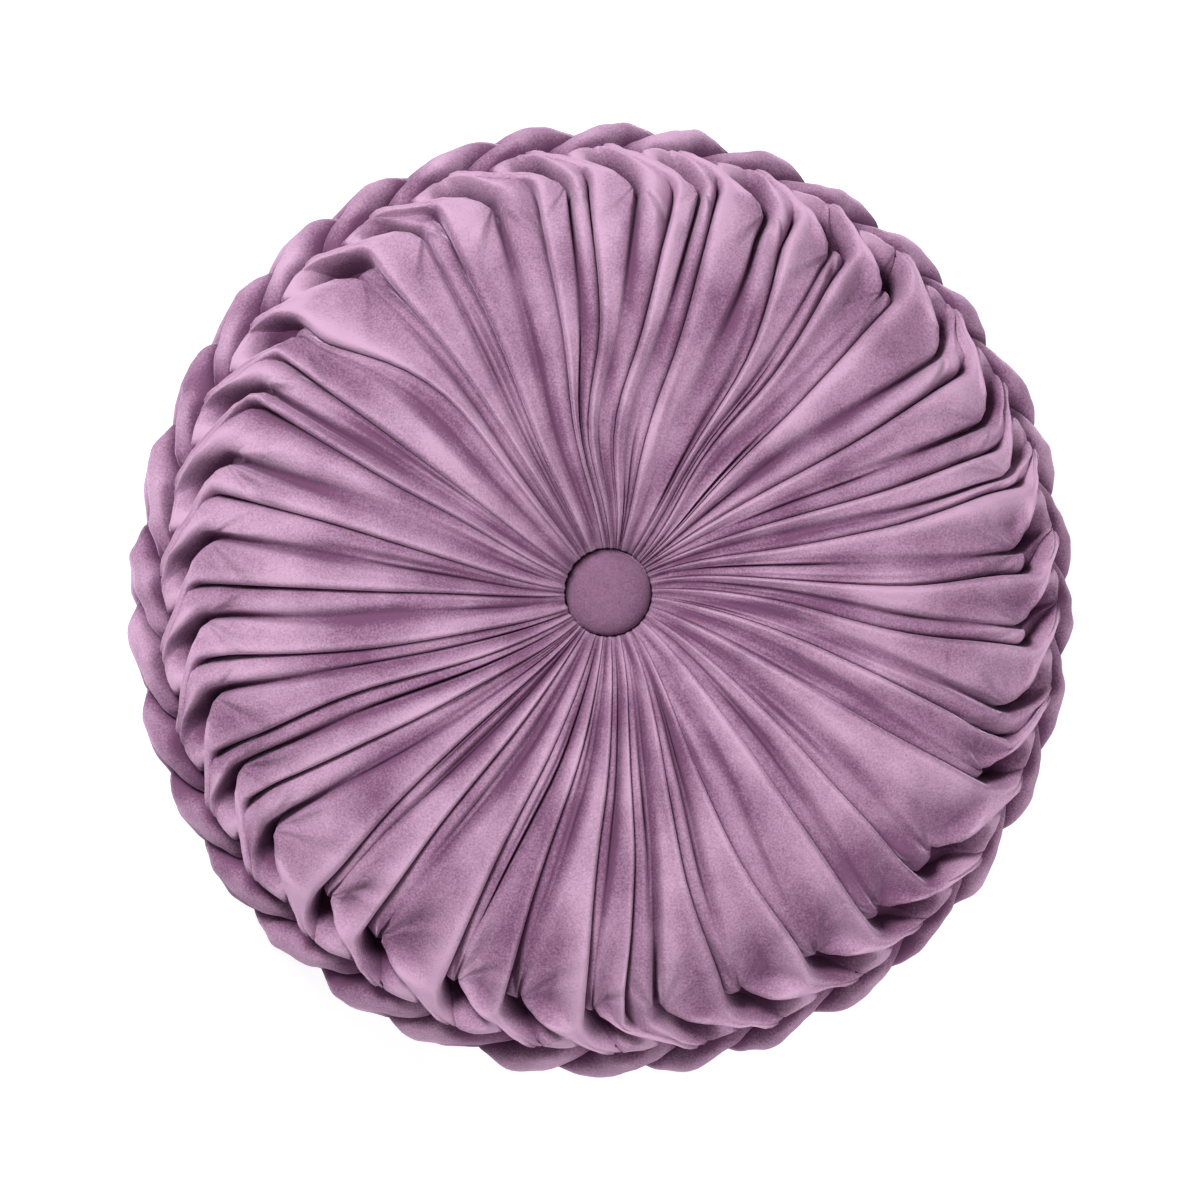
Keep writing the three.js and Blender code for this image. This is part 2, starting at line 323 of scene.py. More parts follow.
# %% [markdown]
# The face of a cushion is where the cloth runs smoothly from the button to the stitches. Near the button
# all pleats share one profile. Towards its stitch each pleat turns into its own: a broad roll where the
# stitch sits far from the crease, and flatter cloth with a pinch where it sits close to it.

# %% The face
EDGE_START = 0.08  # pleats from a stitch to the free edge that starts beside it
RIDGE_PART = 0.88  # how far across a pleat its ridge is at the stitch
STAR_REACH = (2.4, 6.0)  # the valley that runs in from a stitch fades out over these stations
PINCH = 0.16  # how much a bare stitch pulls the cloth down


def face_section(face, station, radius):
    crease = face["crease"](radius)
    start, span = crease[:-1], np.diff(crease)
    part = face["stitch_part"][:, None]
    before = part * np.array((0.0, 0.11, 0.25, 0.42, 0.60, 0.80, 0.86, 0.91, 0.95))
    after = np.concatenate((
        part + np.array((0.0, 0.03, EDGE_START)),
        mix(part + EDGE_START, RIDGE_PART, 0.5),
        np.broadcast_to(np.array((RIDGE_PART, 1 - 0.3 * (1 - RIDGE_PART), 0.996)), (len(part), 3)),
    ), axis=1)
    stitch_parts = np.concatenate((before, after), axis=1)
    parts = mix(FACE_PARTS, stitch_parts, smooth_step(station, *STAR_REACH))
    bare_lifts = np.interp(stitch_parts, FACE_PARTS, FACE_LIFTS)
    bare_lifts[:, AT["middle"]:AT["edge"]] -= PINCH * smooth_step(station, 5.3, 6.0)
    stitch_lifts = mix(bare_lifts, ROLL_LIFTS, face["roll"][:, None])
    open_lifts = FACE_LIFTS + (face["hump"] + face["valley"]) * smooth_step(station, 0.8, 2.0)
    lifts = mix(open_lifts, stitch_lifts, smooth_step(station, *STAR_REACH) ** 1.8)
    lifts = tucked(face, station, lifts)
    return start[:, None] + span[:, None] * parts, lifts


print("steepest pleat, lift:", round(float(face_section(FRONT, 5.0, 140.0)[1].max()), 2))

# %% [markdown]
# On the real rim each pleat is pulled sideways by its stitch and folds over into a hood, which overhangs the
# pocket of the next one. Sculpting 34 hoods by hand would look right from one side only. Here two lines
# draw a hood, its free edge and its crease, and the points between them follow. A hood counts from 0 at
# the stitches to 1 at the tips. Beside a broad roll the crease stays, and elsewhere it swings to the tip.

# %% The lines of a hood
def soft_max(a, b, reach):
    """The greater of two angles, rounded off where they cross."""
    return (a + b + np.sqrt((a - b) ** 2 + reach ** 2)) / 2


def hood_lines(face, hood, crease):
    """The free edge, ridge and foot of every hood, and how far its edge has merged with the next crease."""
    start = face["stitch"][:-1] + EDGE_START * PITCH
    free_edge = np.append(0, mix(start, TIPS[1:], hood ** 0.8))
    swing = hood ** 2 * (1 - np.append(face["roll"], face["roll"][2]))
    crease_line = mix(crease, TIPS + 0.05 * PITCH, swing)
    ridge = soft_max(crease_line - 0.12 * PITCH, free_edge + 0.04 * PITCH, 0.05 * PITCH)
    foot = soft_max(crease_line, free_edge + 0.11 * PITCH, 0.06 * PITCH)
    merged = smooth_step(free_edge - crease_line, -0.25 * PITCH, 0.02 * PITCH)[1:-1]
    return free_edge, ridge, foot, merged


def hood_angles(face, hood, crease, lines):
    """Where the sixteen points of every hood lie: crest and fall make its roll, star is behind its lip."""
    free_edge, ridge, foot = lines
    edge_next, ridge_next, foot_next = free_edge[2:], ridge[2:], foot[2:]
    foot, stitch, crease = foot[1:-1], face["stitch"][1:-1], crease[1:-1]
    roll_end = TIPS[1:-1] + mix(0.12, 0.0, face["roll"][1:]) * PITCH
    crest = mix(mix(crease, stitch, 0.6), roll_end, hood)
    crest = np.maximum(crest, foot + (0.03 + 0.05 * (1 - hood)) * PITCH)
    fall = crest + (1 - hood) * 0.2 * (stitch - crease) + 0.03 * hood * PITCH
    star = mix(stitch + 0.03 * PITCH, edge_next - 0.035 * PITCH, smooth_step(hood, 0, 0.2))
    return np.stack((
        foot,
        *(mix(foot, crest, part) for part in (0.18, 0.42, 0.70)),
        crest,
        fall,
        *(mix(fall, star, part) for part in (0.14, 0.36, 0.60, 0.82)),
        star,
        edge_next,
        mix(edge_next, ridge_next, 0.5),
        ridge_next,
        mix(ridge_next, foot_next, 0.7),
        foot_next - 0.004 * PITCH,
    ), axis=1)


print("tips, degrees apart:", [round(float(end(np.diff(TIPS))), 1) for end in (np.min, np.max)])

# %% [markdown]
# The lifts make the hood stand over its pocket. The floor of a pocket lies low until just behind the lip,
# then climbs to it. Past the lip the cloth drops into a gap, out of which the strip of the rim rises.

# %% The rise of a hood
POCKET_LIFT, LIP_LIFT = 0.02, 1.04  # lifts of a pocket's floor and of the lip above it
TUBE_LIFTS = np.array((0.96, 0.98, 1.00, 1.02, 1.03))  # the points from foot to roll once the edge has merged
TUBE_GAINS = np.array((0.04, 0.03, 0.02, 0.02, 0.02))  # and what they gain on the way to the tip
LIP_ROUNDING, TIP_ROUNDING = 0.06, 0.12  # how much the cloth turns down at a lip and at a tip
GAP_DEPTH = 0.95  # part of its lift that the cloth loses between a lip and the strip
STRIP_START = 0.55  # how far a strip has risen where it comes out from under the hoods


def hood_lifts(face, hood, merged):
    """How high the points of every hood stand."""
    roll, merged_next = face["roll"][1:, None], np.append(merged[1:], merged[0])
    starts = mix(BARE_CLIMBS, ROLL_CLIMBS, roll)
    climb = smooth_step(hood / LIPS, starts, starts + CLIMB_LENGTH)
    lifts = mix(POCKET_LIFT, LIP_LIFT, climb)
    tube = slice(AT["foot"], AT["fall"])
    tube_lifts = mix(ROLL_LIFTS[tube], TUBE_LIFTS + TUBE_GAINS * hood, merged[:, None])
    lifts[:, tube] = mix(lifts[:, tube], tube_lifts, roll)
    lifts[:, AT["fall"]] = mix(lifts[:, AT["fall"]], ROLL_LIFTS[AT["fall"]], roll[:, 0] * (1 - hood))
    edge_lift = mix(1.10, 1.02, hood ** 3)
    lifts[:, AT["edge"]:AT["wall"]] = (edge_lift, 1.05, mix(1.02, 1.04, hood), mix(0.98, 1.02, hood))
    lifts[:, AT["wall"]] = mix(0.5, mix(0.98, 1.03, hood), merged_next)
    return lifts


def hood_section(face, reach, radius):
    """One row of the hoods and the gap past them, where reach is 0 at the stitches and 1 at the tips."""
    hood = min(reach, 1)
    crease = face["crease"](radius)
    *lines, merged = hood_lines(face, hood, crease)
    at_stitch = face_section(face, STITCH_STATION, radius)[1][1:]
    lifts = mix(at_stitch, hood_lifts(face, hood, merged), smooth_step(hood, 0, 0.16))
    lifts = lifts - LIP_ROUNDING * smooth_step(hood / LIPS, 0.85, 1) - TIP_ROUNDING * hood ** 8
    past = reach - LIPS
    gap = smooth_step(past, 0.0, 0.05) * (1 - smooth_step(past, 0.22, 0.34))
    lifts = mix(lifts * (1 - GAP_DEPTH * gap), STRIP_START * STRIP_LIFTS, smooth_step(past, 0.21, 0.36))
    return hood_angles(face, hood, crease, lines), lifts


print("highest lip, lift:", round(float(hood_section(FRONT, 0.5, 174.0)[1].max()), 2))

# %% [markdown]
# Past the hoods the cloth runs round the side in slanting strips. A strip of the front leans one way and its
# fellow of the back the other, so the two rows look plaited. They are one cloth, and no strip is a piece.

# %% The strips of the rim
STRIP_LEAN = 0.75  # pleats that a strip runs back over, from a tip to the widest ring
GROOVE_LIFT = 0.15  # lift of the grooves between the strips at the widest ring
FACE_BEND, HOOD_BEND = 0.12, 0.02  # stations over which a fold is rounded off, on the face and on the hoods


def strip_section(strip):
    """One row of the strips, where strip is 0 at the tips and 1 at the widest ring."""
    tip, span = TIPS[1:-1, None], np.diff(TIPS)[1:, None]
    risen = mix(STRIP_START, 1, smooth_step(strip, 0, 0.45))
    at_widest = mix(GROOVE_LIFT, 1, np.sin(math.pi * np.minimum(STRIP_PARTS, 1)))
    lifts = np.broadcast_to(mix(STRIP_LIFTS, at_widest, strip ** 2) * risen, (len(tip), POINTS))
    return tip + span * (STRIP_PARTS - STRIP_LEAN * strip ** 1.2), lifts


def sharp_section(face, station, radius):
    """Angle and lift of the sixteen points of every pleat at one station, as tables of pleat by point."""
    if station <= STITCH_STATION:
        angles, lifts = face_section(face, station, radius)
        return angles[1:PLEATS + 1], lifts[1:PLEATS + 1]
    angles, lifts = hood_section(face, station - STITCH_STATION, radius)
    strip = (station - TIP_STATION) / (WIDEST_STATION - TIP_STATION)
    if strip > 0:
        strip_angles, strip_lifts = strip_section(strip)
        angles = mix(angles, strip_angles, smooth_step(strip, 0, 0.2))
        lifts = mix(lifts, strip_lifts, smooth_step(strip, 0.15, 0.32))
    return angles[:PLEATS], lifts[:PLEATS]


def section_at(face, station, radius):
    """The section with its bends rounded off along the pleats, as thick cloth would round them."""
    bend = mix(FACE_BEND, HOOD_BEND, smooth_step(station, 6.1, 6.4))
    total = 0
    for offset, weight in ((-bend, 0.25), (0, 0.5), (bend, 0.25)):
        at = min(max(station + offset, 0), WIDEST_STATION)
        total = total + weight * np.array(sharp_section(face, at, outline_at(at)[0]))
    return total


print("widest lift past the stitches:", round(float(section_at(FRONT, 6.6, 177.0)[1].max()), 2))

# %% [markdown]
# The strip of velvet is a grid of cells: along it go the 34 pleats, and across it the rows from the front
# button to the back one. Rows that ran straight across the lip of a hood would cut it in steps. So the rows
# bend with the lip, lie close together just past it, and run straight again down the strips.

# %% The rows of the strip
FINE_STEP = 0.02  # stations between two finished sections, from which the rows are read
JOIN_STATION = 7.45  # from here out the rows run straight again


def mesh_rows(face_rows, shares, pasts, joins, strip_rows):
    """Stations of every row point by point: over the face, up to the lip, past it, and over the strips."""
    straight = np.ones(POINTS)
    face = [straight * station for station in face_rows]
    up_to_lip = [STITCH_STATION + ROW_BENDS * share for share in np.linspace(0, 1, shares, endpoint=False)]
    past_lip = [STITCH_STATION + ROW_BENDS + past for past in pasts]
    join = [mix(past_lip[-1], JOIN_STATION, part) for part in np.linspace(0, 1, joins + 2)[1:-1]]
    strips = [straight * station for station in np.linspace(JOIN_STATION, WIDEST_STATION, strip_rows + 1)]
    return np.array(face + up_to_lip + past_lip + join + strips)


def stretches(*parts):
    """Stations from stretches of (start, end, count)."""
    return np.concatenate([np.linspace(start, end, count, endpoint=False) for start, end, count in parts])


FRONT_ROWS = mesh_rows(
    stretches((0, 0.6, 3), (0.6, 1.0, 4), (1.0, 5.0, 14), (5.0, 6.0, 8)),
    shares=11, pasts=(0, 0.015, 0.05, 0.12, 0.20, 0.28), joins=4, strip_rows=6,
)
BACK_ROWS = mesh_rows(
    stretches((0, 0.6, 2), (0.6, 1.0, 3), (1.0, 5.0, 8), (5.0, 6.0, 3)),
    shares=6, pasts=(0, 0.03, 0.12, 0.22), joins=2, strip_rows=4,
)[:-1]
COLUMNS = PLEATS * POINTS * 2
print(len(FRONT_ROWS) + len(BACK_ROWS), "rows by", COLUMNS, "columns")

# %% [markdown]
# All the angles so far are as the leaning camera sees them. To it a ring that stands above the button looks
# moved aside. So its angles are turned back by that much, and then they are true about the cushion's axis.

# %% From seen angles to true ones
STITCH_RADIUS, STITCH_HEIGHT = (float(value) for value in outline_at(STITCH_STATION)[:2])


def turned_back(angle, radius, height):
    """The true angle in radians, from one in degrees as the leaning camera sees it."""
    aside = (height - BUTTON_SEAT) * math.sin(EYE_LEAN)
    along = BUTTON_OFF_CENTRE * smooth_step(radius, BUTTON_RADIUS, CUSHION_RADIUS)
    radians = np.radians(angle)
    return radians + (aside * np.sin(radians) + along * np.cos(radians)) / radius


turns = np.degrees(turned_back(TIPS, STITCH_RADIUS, STITCH_HEIGHT)) - TIPS
print("stitches are turned back by up to, degrees:", round(float(abs(turns).max()), 1))

# %% [markdown]
# Cloth that is pulled to a stitch wrinkles in a fan. Every point therefore keeps its place as seen from its
# stitch. The broad folds of the fan move the points, and the velvet draws the fine ones later.

# %% The folds that fan in from the stitches
STITCH_SLOPE = 1.25  # millimetres of cloth to one seen from above, near the stitches
FAN_RISE, FAN_LENGTH = 3.2, 32  # millimetres

for face in (FRONT, BACK):
    stars = face["stitch"][1:-1][:PLEATS]
    face["stars"] = turned_back(stars, STITCH_RADIUS, STITCH_HEIGHT)
    face["fan"] = chance.uniform((0.5, 2.2, 0), (1.0, 3.6, 2 * math.pi), (PLEATS, 3))


def from_stitch(face, angles, radius):
    """Where a point lies from its pleat's stitch in millimetres, aside and inwards, and a turn of its own."""
    aside = (angles - face["stars"][:, None]) * radius
    inwards = np.full_like(aside, (STITCH_RADIUS - radius) * STITCH_SLOPE)
    return np.stack((aside, inwards, np.broadcast_to(face["fan"][:, 2:], aside.shape)), axis=2)


def star_folds(face, places):
    """How far the soft folds of a stitch's fan stand up, in millimetres."""
    aside, inwards, phase = places[..., 0], places[..., 1], places[..., 2]
    away, bearing = np.hypot(aside, inwards), np.arctan2(aside, np.maximum(inwards, 0))
    size, count = face["fan"][:, :1], face["fan"][:, 1:2]
    fade = smooth_step(away, 2, 12) * np.exp(-away / FAN_LENGTH) * (1 - smooth_step(abs(bearing), 0.9, 1.5))
    return FAN_RISE * size * fade * np.sin(count * bearing + phase) * (inwards > 0)


print("fans, mm high:", round(float(FRONT["fan"][:, 0].max()) * FAN_RISE, 1))

# %% [markdown]
# A ring joins the sections of all pleats at one station. It is worked out at many fine stations first, and
# the bent rows are read from those, with one more point between each two so that the folds stay round.

# %% The rings of points
# painted shade: the gap just past a lip is coloured darker, as the lip shades it
POCKET_SHADE = 0.1  # how open a fold is just past a lip, where it is darkest


def ring_points(face, station):
    """Every point of one section: x, y, z, how open its fold is with painted shade past the lips, and its
    place from the stitch.
    """
    radius, height, depth, out_radius, out_height = outline_at(station)
    angles, lifts = section_at(face, station, radius)
    angles = turned_back(angles, max(radius, 1), height)
    places = from_stitch(face, angles, radius)
    drop = depth * (1 - lifts) - star_folds(face, places)
    ring_radius = radius - out_radius * drop
    ring_height = np.maximum((height - out_height * drop) * face["side"], -WIDEST_HEIGHT / MM)
    off_centre = BUTTON_OFF_CENTRE * (1 - smooth_step(radius, BUTTON_RADIUS, CUSHION_RADIUS))
    x = ring_radius * np.cos(angles)
    y = ring_radius * np.sin(angles) + (off_centre if face["side"] > 0 else 0)
    past = station - STITCH_STATION - LIPS
    # painted shade: just past a lip the fold value drops to POCKET_SHADE and climbs back, so the velvet
    # colours the gap dark
    shades = lifts * np.where(past > 0, mix(POCKET_SHADE, 1, smooth_step(past, 0.12, 0.46)), 1)
    spots = np.stack((x, y, ring_height + WIDEST_HEIGHT / MM, shades), axis=2)
    return np.concatenate((spots, places), axis=2)


def read_rows(face, rows):
    """The rows of one face, with a point between each two on the curve through their four neighbours."""
    fine = np.array([ring_points(face, i * FINE_STEP) for i in range(round(WIDEST_STATION / FINE_STEP) + 1)])
    below = np.minimum((rows / FINE_STEP).astype(int), len(fine) - 2)
    share = (rows / FINE_STEP - below)[:, None, :, None]
    pleat, point = np.arange(PLEATS)[None, :, None], np.arange(POINTS)[None, None, :]
    read = mix(fine[below[:, None, :], pleat, point], fine[below[:, None, :] + 1, pleat, point], share)
    ring = read.reshape(len(rows), PLEATS * POINTS, -1)
    around = 9 * (ring + np.roll(ring, -1, 1)) - np.roll(ring, 1, 1) - np.roll(ring, -2, 1)
    return np.stack((ring, around / 16), axis=2).reshape(len(rows), COLUMNS, -1)


print("ring at the crown, points:", ring_points(FRONT, 4.0)[..., 0].size)

# %% [markdown]
# Filling is lumpy, and gathers are finer the nearer they run to a button. Noise moves the points outwards a
# little for both. It moves them away from the middle of the cushion, not along their normals, because
# normals at the sharp edge of a hood point every way and would tear it.

# %% Gathers and lumps
FLAT_PLEAT, FLAT_ROW = 0.07, 0.006  # metres of flat velvet in a pleat and between two rows
GATHERS, GATHER_LENGTH = 26, 34 * MM  # how fine the small gathers are round the button, and how long
LUMP_SIZE = 24 * MM
GATHER_RISE, LUMP_RISE = 1.2 * MM, 1.8 * MM
BRUSH_STROKES, BRUSH_LENGTH = 11, 45 * MM
FLATNESS = (1, 1, 5)  # heights count more when a point's way out is told, because the cushion is flat
NEAR_BUTTON = (18, 60)  # millimetres from the axis over which gathers and lumps come in


def long_noise(spots, count, length):
    """Noise that is stretched along the pleats, finer across them."""
    out = np.hypot(spots[:, 0], spots[:, 1])
    across = spots[:, :2] / np.maximum(out, 1e-6)[:, None] * count
    places = np.column_stack((across, (out + spots[:, 2]) / length))
    return np.array([noise.noise(place) for place in places.tolist()])


def crumple(table):
    """Moves the points a little outwards for gathers at the button and lumps of filling; returns the nap."""
    spots = table[..., :3].reshape(-1, 3) * MM
    gathers = long_noise(spots, GATHERS, GATHER_LENGTH)
    lumps = np.array([noise.noise(spot) for spot in (spots / LUMP_SIZE).tolist()])
    outwards = (spots - (0, 0, WIDEST_HEIGHT)) * FLATNESS
    outwards = outwards / np.linalg.norm(outwards, axis=1)[:, None]
    from_button = smooth_step(np.hypot(spots[:, 0], spots[:, 1]) / MM, *NEAR_BUTTON)
    move = (gathers * GATHER_RISE + lumps * LUMP_RISE) * from_button
    spots = spots + outwards * move[:, None]
    spots[:, 2] = np.maximum(spots[:, 2], 0)
    table[..., :3] = (spots / MM).reshape(table[..., :3].shape)
    return long_noise(spots, BRUSH_STROKES, BRUSH_LENGTH) + 0.5 * lumps


print("lumps rise, mm:", round(LUMP_RISE / MM, 1))

# %% [markdown]
# Now the grid is made and its points go to their rings. Its two ends meet in a seam that is merged, and so
# do the points under each button, which are drawn into one there, so the cover is closed. Each point keeps
# its place on the flat cloth as a UV map, for a weave that someone may add, and the attributes that the
# velvet reads.

# %% The strip, gathered into a cushion
SEAM_GAP = 0.001 * MM  # points nearer than this are one


def gather_strip():
    bm = bmesh.new()
    table = np.concatenate((read_rows(FRONT, FRONT_ROWS), read_rows(BACK, BACK_ROWS)[::-1]))
    nap = crumple(table)
    for pole in (0, -1):
        table[pole, :, :3] = table[pole, :, :3].mean(axis=0)
    bmesh.ops.create_grid(bm, x_segments=COLUMNS, y_segments=len(table) - 1, size=0.5)
    mesh = bpy.data.meshes.new("cover")
    bm.to_mesh(mesh)
    bm.free()
    flat = np.zeros(len(mesh.vertices) * 3)
    mesh.vertices.foreach_get("co", flat)
    flat = flat.reshape(-1, 3)
    column = np.rint((flat[:, 0] + 0.5) * COLUMNS).astype(int)
    row = np.rint((flat[:, 1] + 0.5) * (len(table) - 1)).astype(int)
    corner = np.zeros(len(mesh.loops), dtype=int)
    mesh.loops.foreach_get("vertex_index", corner)
    cloth = mesh.uv_layers.new(name="flat_cloth")
    along, across = column * FLAT_PLEAT / (2 * POINTS), row * FLAT_ROW
    cloth.data.foreach_set("uv", np.stack((along[corner], across[corner]), axis=1).ravel())
    mesh.vertices.foreach_set("co", (table[row, column % COLUMNS, :3] * MM).ravel())
    # the fold value is each point's lift, cut down past the lips; the velvet paints shade from it
    fold = mesh.attributes.new("fold", "FLOAT", "POINT")
    fold.data.foreach_set("value", table[row, column % COLUMNS, 3])
    brushed = mesh.attributes.new("brushed", "FLOAT", "POINT")
    brushed.data.foreach_set("value", nap.reshape(table.shape[:2])[row, column % COLUMNS])
    stitch = mesh.attributes.new("from_stitch", "FLOAT_VECTOR", "POINT")
    stitch.data.foreach_set("vector", table[row, column % COLUMNS, 4:].ravel())
    bm = bmesh.new()
    bm.from_mesh(mesh)
    bmesh.ops.remove_doubles(bm, verts=bm.verts, dist=SEAM_GAP)
    print("open edges:", sum(edge.is_boundary for edge in bm.edges))
    bmesh.ops.recalc_face_normals(bm, faces=bm.faces)
    for face in bm.faces:
        face.smooth = True
    bm.to_mesh(mesh)
    bm.free()
    piece = bpy.data.objects.new("velvet_cover", mesh)
    bpy.context.scene.collection.objects.link(piece)
    return piece


cover = gather_strip()
print("cover cells:", len(cover.data.polygons))

# %% [markdown]
# Velvet is a pile of short threads. Seen straight on it shows its colour, and it turns paler where it
# slopes away, so a rough base carries a tinted sheen. The pile lies this way and that, which mottles
# the colour in fine grain and in soft strokes. Shade is painted into the colour too: a deep plum where a
# fold closes, darker cloth low in the valleys and lighter cloth on the ridges, and a painted highlight
# along the highest edges. The lift of each point tells how open its fold is. All of it is summed in
# nodes, and a small class lets the sums be written as sums.

# %% Sums in a material
class Socket:
    """A value in a material, so that sums are written as sums."""

    def __init__(self, tree, value=None):
        self.tree, self.value = tree, value

    def feed(self, target, value):
        if isinstance(value, Socket):
            self.tree.links.new(value.value, target)
        else:
            target.default_value = value

    def make(self, kind, values, output=0, **settings):
        """Any other node: its kind, the values of its sockets, the output that is read, and its settings."""
        node = self.tree.nodes.new(kind)
        for name, setting in settings.items():
            setattr(node, name, setting)
        for name, value in values.items():
            self.feed(node.inputs[name], value)
        return Socket(self.tree, node.outputs[output])

    def maths(self, operation, first, second):
        return self.make("ShaderNodeMath", {0: first, 1: second}, operation=operation)

    def ramp(self, low, high):
        """0 below the first value, 1 above the second, and smooth between them."""
        ends = {"Value": self, "From Min": low, "From Max": high}
        return self.make("ShaderNodeMapRange", ends, interpolation_type="SMOOTHSTEP")

    def __add__(self, other):
        return self.maths("ADD", self, other)

    def __radd__(self, other):
        return self.maths("ADD", other, self)

    def __sub__(self, other):
        return self.maths("SUBTRACT", self, other)

    def __rsub__(self, other):
        return self.maths("SUBTRACT", other, self)

    def __mul__(self, other):
        return self.maths("MULTIPLY", self, other)

    def __rmul__(self, other):
        return self.maths("MULTIPLY", other, self)


# %% [markdown]
# One recipe serves the cover and the buttons, which are cut from the same velvet; the buttons sit lower, so
# they are given darker colours as painted shade. Colours between the dull and the bright one come from how
# the pile lies and from painted light that makes higher cloth lighter and lower cloth darker. Bump does the
# pile and the fine wrinkles, since both are thinner than the cells of the mesh.

# %% The velvet
# painted shade: the deep plum colour that closed folds are drawn in
PAINTED_FOLD_SHADE = (0.045, 0.007, 0.034, 1)
GRAIN_HEIGHT, WRINKLE_HEIGHT = 0.35 * MM, 0.08 * MM
GRAIN_SCALE, STROKE_SCALE = 1200.0, 55.0
WRINKLES, WRINKLE_REACH = 11, (6.0, 42.0)  # in a full turn about a stitch, and millimetres to where they fade


def velvet(name, dull, bright):
    """Velvet between a dull and a bright colour, with painted shade in deep plum where its folds close."""
    material = bpy.data.materials.new(name)
    material.use_nodes = True
    tree = material.node_tree
    shader = tree.nodes["Principled BSDF"]
    uniform = {
        "Roughness": 0.85, "Specular IOR Level": 0.15,
        "Sheen Weight": 0.6, "Sheen Roughness": 0.35, "Sheen Tint": (0.9, 0.6, 0.88, 1),
    }
    for socket, value in uniform.items():
        shader.inputs[socket].default_value = value
    start = Socket(tree)
    place = start.make("ShaderNodeTexCoord", {}, output="Object")
    fine = {"Vector": place, "Scale": GRAIN_SCALE, "Detail": 3.0, "Roughness": 0.6}
    broad = {"Vector": place, "Scale": STROKE_SCALE, "Detail": 4.0, "Roughness": 0.6}
    grain = start.make("ShaderNodeTexNoise", fine)
    strokes = start.make("ShaderNodeTexNoise", broad)
    lift = start.make("ShaderNodeAttribute", {}, output="Fac", attribute_name="fold")
    brushed = start.make("ShaderNodeAttribute", {}, output="Fac", attribute_name="brushed")
    # painted highlight: a bright line along the edges that stand highest
    painted_edge_highlight = lift.ramp(0.96, 1.08) * 0.45
    # painted light: the lift term makes high cloth lighter and low cloth darker; grain, strokes and brushing
    # are the pile's own mottling
    nap_tone_and_painted_light = (grain - 0.5) * 1.3 + (strokes - 0.5) * 0.8 + (lift - 0.75) + brushed * 0.6 + painted_edge_highlight + 0.42
    lit = start.make("ShaderNodeMix", {0: nap_tone_and_painted_light, 6: dull, 7: bright}, output=2, data_type="RGBA")
    # painted shade: the less open a fold, the more of the deep plum colour it gets
    unshaded_share = lift.ramp(-0.2, 0.72)
    colour = start.make("ShaderNodeMix", {0: unshaded_share, 6: PAINTED_FOLD_SHADE, 7: lit}, output=2, data_type="RGBA")
    start.feed(shader.inputs["Base Color"], colour)
    stitch = start.make("ShaderNodeAttribute", {}, output="Vector", attribute_name="from_stitch")
    aside, inwards, turn = (start.make("ShaderNodeSeparateXYZ", {0: stitch}, output=axis) for axis in "XYZ")
    away = start.maths("SQRT", aside * aside + inwards * inwards, 0.0)
    bearing = start.maths("ARCTAN2", aside, inwards)
    wave = start.maths("SINE", bearing * WRINKLES + turn + (strokes - 0.5) * 3, 0.0)
    sides = 1 - start.maths("ABSOLUTE", bearing, 0.0).ramp(0.4, 1.0)
    wrinkles = wave * sides * away * (1 - away.ramp(*WRINKLE_REACH)) * inwards.ramp(0.0, 3.0)
    height = grain * GRAIN_HEIGHT - wrinkles * WRINKLE_HEIGHT
    pile = start.make("ShaderNodeBump", {"Height": height, "Strength": 1.0, "Distance": 1.0})
    start.feed(shader.inputs["Normal"], pile)
    return material


velvet_lilac = velvet("lilac_velvet", (0.175, 0.072, 0.148, 1), (0.51, 0.315, 0.455, 1))
# the buttons are the same velvet in darker colours, painted shade for their low seats in the dimples
button_velvet_shaded = velvet("button_velvet_painted_shade", (0.04, 0.014, 0.034, 1), (0.25, 0.13, 0.218, 1))
print("materials:", [material.name for material in bpy.data.materials])

# %% [markdown]
# The cover takes the place of the solid of the same name, rides with the frame's root and keeps its slot,
# so that another colour can be put on it later.

# %% The cover in its place
cover.data.materials.append(velvet_lilac)
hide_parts("cushion_cover")
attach(cover, "root")
print("cover, mm:", [round(side / MM, 1) for side in cover.dimensions])

# %% [markdown]
# A covered button is a shell of metal with a round of cloth drawn over it and tucked in behind. A ball that
# is flattened below and widened at its waist gives that shape, with 17 small puckers where the cloth is
# tucked in. A lathe profile would do as well, but a ball brings even cells and closed poles.

# %% The buttons
PUCKERS, PUCKER_DEPTH = 17, 0.012  # depth as a part of the button's radius
FULLNESS = 0.86  # a power: below 1 it fills out the button towards its waist
DOME, SEAT = 1.3, 0.7  # heights of the upper and the lower half, whose waist lies 0.3 below the middle


def covered_button(name, node):
    """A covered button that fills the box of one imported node."""
    low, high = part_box(node)
    middle, half = (low + high) / 2, (high - low) / 2
    faces_up = 1 if name == "front_button" else -1
    bm = bmesh.new()
    bmesh.ops.create_uvsphere(bm, u_segments=68, v_segments=28, radius=1)
    for vert in bm.verts:
        x, y, z = vert.co
        out = math.hypot(x, y)
        bearing = math.atan2(y, x)
        widened = out ** FULLNESS
        pucker = PUCKER_DEPTH * math.sin(PUCKERS * bearing) * smooth_step(-z, -0.3, 0.3)
        x, y = (x / out * widened, y / out * widened) if out > 1e-6 else (0, 0)
        rise = (DOME if z > 0 else SEAT) * z + 1 - DOME
        spot = Vector((x * (1 - pucker), y * (1 - pucker), rise * faces_up))
        vert.co = middle + Vector(a * b for a, b in zip(spot, half))
    for face in bm.faces:
        face.smooth = True
    bm.normal_update()
    bmesh.ops.recalc_face_normals(bm, faces=bm.faces)
    mesh = bpy.data.meshes.new(name)
    bm.to_mesh(mesh)
    bm.free()
    fold = mesh.attributes.new("fold", "FLOAT", "POINT")
    fold.data.foreach_set("value", [1.0] * len(mesh.vertices))
    button = bpy.data.objects.new(name, mesh)
    bpy.context.scene.collection.objects.link(button)
    button.data.materials.append(button_velvet_shaded)
    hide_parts(node)
    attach(button, "root")
    return button


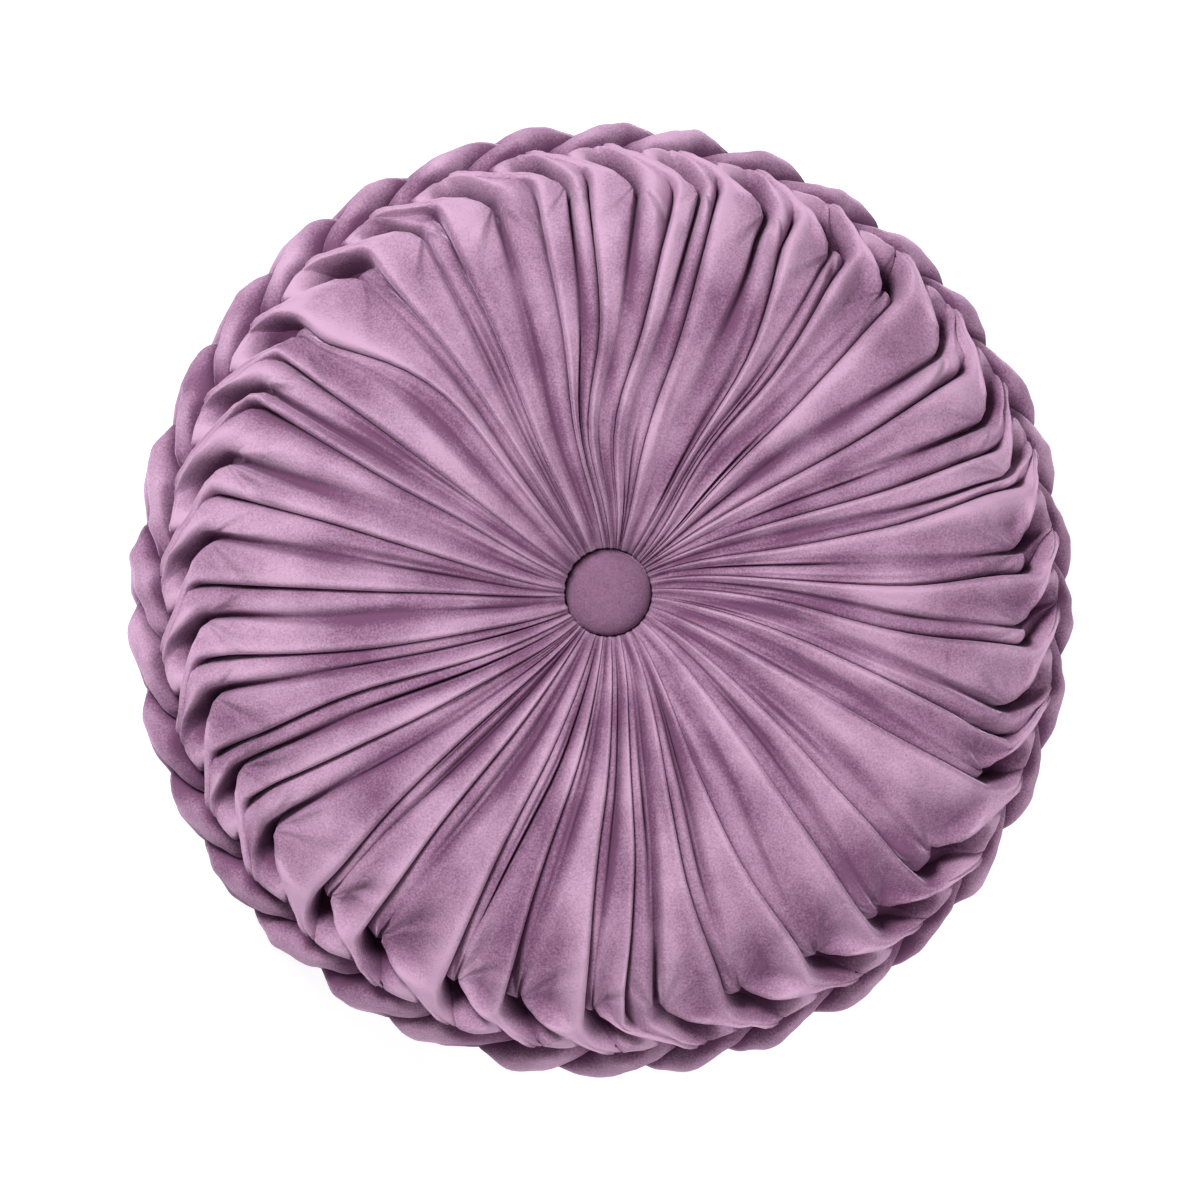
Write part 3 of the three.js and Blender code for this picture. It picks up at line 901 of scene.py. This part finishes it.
button_nodes = {"front_button": "button_front", "back_button": "button_back"}
buttons = [covered_button(name, node) for name, node in button_nodes.items()]
print("buttons, mm:", [round(side / MM, 1) for side in buttons[0].dimensions])

# %% [markdown]
# The photograph has a white ground and soft light from the upper left, with a weaker one from the lower
# right. A disk lamp near the cushion keeps its shadows soft in the pleats and dark in the pockets. The floor
# glows a little, so that it stays white under the cushion's shadow.

# %% Floor and light
FLOOR_REACH = 4  # metres from its middle to its edges
FLOOR_GREY, FLOOR_GLOW, ROOM_LIGHT = 0.4, 0.8, 0.22
WHITE = (1, 1, 1, 1)
bm = bmesh.new()
bmesh.ops.create_grid(bm, x_segments=1, y_segments=1, size=FLOOR_REACH)
floor_mesh = bpy.data.meshes.new("floor")
bm.to_mesh(floor_mesh)
bm.free()
floor = bpy.data.objects.new("floor", floor_mesh)
bpy.context.scene.collection.objects.link(floor)
floor_paint = bpy.data.materials.new("floor_paint")
floor_paint.use_nodes = True
floor_shader = floor_paint.node_tree.nodes["Principled BSDF"]
floor_shader.inputs["Base Color"].default_value = (FLOOR_GREY, FLOOR_GREY, FLOOR_GREY, 1)
floor_shader.inputs["Emission Color"].default_value = WHITE
floor_shader.inputs["Emission Strength"].default_value = FLOOR_GLOW
floor_shader.inputs["Roughness"].default_value = 0.9
floor.data.materials.append(floor_paint)


def soft_box(name, place, size, power):
    """A round lamp, in metres and watts, turned to the cushion."""
    light = bpy.data.lights.new(name, "AREA")
    light.shape = "DISK"
    light.size = size
    light.energy = power
    lamp = bpy.data.objects.new(name, light)
    lamp.location = place
    lamp.rotation_euler = (aim - Vector(place)).to_track_quat("-Z", "Y").to_euler()
    bpy.context.scene.collection.objects.link(lamp)


soft_box("key", (-0.8, 0.85, 1.5), 0.55, 40)
soft_box("fill", (1.3, -1.2, 1.3), 1.4, 25)
world = bpy.data.worlds.new("studio")
bpy.context.scene.world = world
world.use_nodes = True
world.node_tree.nodes["Background"].inputs["Color"].default_value = WHITE
world.node_tree.nodes["Background"].inputs["Strength"].default_value = ROOM_LIGHT
bpy.context.scene.view_settings.view_transform = "Standard"
print("lamps:", len(bpy.data.lights))
